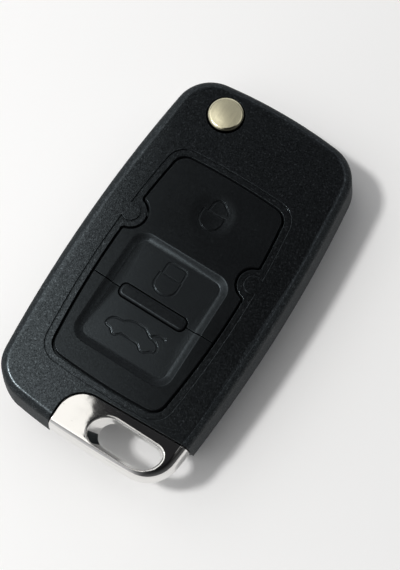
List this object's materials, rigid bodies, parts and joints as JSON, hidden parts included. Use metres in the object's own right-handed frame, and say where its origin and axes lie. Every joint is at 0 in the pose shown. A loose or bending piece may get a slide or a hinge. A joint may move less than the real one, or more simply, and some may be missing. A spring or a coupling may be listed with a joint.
{
  "type": "key fob shell",
  "caption": "Folding car key shell, closed: bowed plastic casing with a window of sprung keys, a round release button, a folded blade and a slotted ring end.",
  "frame": {"origin": "under the middle of the casing, on the plane of its flat back", "axes": "+Z from the back up to the keys, +Y from the ring end to the blade pivot end, +X across the casing with the folded blade on the -X side"},
  "size_m": [0.0408, 0.0721, 0.015],
  "materials": {
    "upper_casing": "fine spark-eroded grain with smooth edges",
    "lower_casing": "fine spark-eroded grain",
    "ring_end": "bright plated die casting",
    "ring_pin": "ground",
    "keys": "fine satin grain",
    "key_membrane": "moulded silicone",
    "board_tray": "moulded",
    "cell_contacts": "rolled strip",
    "chip_holder": "moulded",
    "blade_hub": "dark satin casting",
    "key_blade": "milled nickel silver",
    "blade_pin": "rolled",
    "hub_washer": "ground",
    "release_button": "finely brushed warm nickel",
    "hub_spring": "spring wire",
    "casing_screws": "black oxide"
  },
  "bodies": {
    "casing": {"upper_casing": "upper_casing", "lower_casing": "lower_casing", "ring_end": "ring_end", "ring_pin": "ring_pin", "key_frame": "keys", "key_membrane": "key_membrane", "board_tray": "board_tray", "cell_contacts": "cell_contacts", "chip_holder": "chip_holder", "hub_washer": "hub_washer", "casing_screws": "casing_screws"},
    "blade_carrier": {"blade_hub": "blade_hub", "key_blade": "key_blade", "blade_pin": "blade_pin", "hub_spring": "hub_spring"},
    "button": {"release_button": "release_button"},
    "rocker": {"rocker_key": "keys"},
    "boot": {"boot_key": "keys"}
  },
  "joints": [
    {"name": "blade_swing", "type": "hinge", "parent": "casing", "child": "blade_carrier", "pos_m": [-0.0086, 0.0288, 0.0057], "axis": [0, 0, -1], "range_deg": [0, 180]},
    {"name": "button_press", "type": "slide", "parent": "blade_carrier", "child": "button", "axis": [0, 0, -1], "range_m": [0, 0.001], "stiffness_N_per_m": 3000, "deforming": ["hub_spring"]},
    {"name": "rocker_tilt", "type": "hinge", "parent": "casing", "child": "rocker", "pos_m": [-0.0003, 0.0041, 0.0106], "axis": [1, 0, 0], "range_deg": [-1.2, 1.2], "stiffness_Nm_per_rad": 1},
    {"name": "boot_press", "type": "slide", "parent": "casing", "child": "boot", "axis": [0, 0, -1], "range_m": [0, 0.0005], "stiffness_N_per_m": 6000}
  ]
}
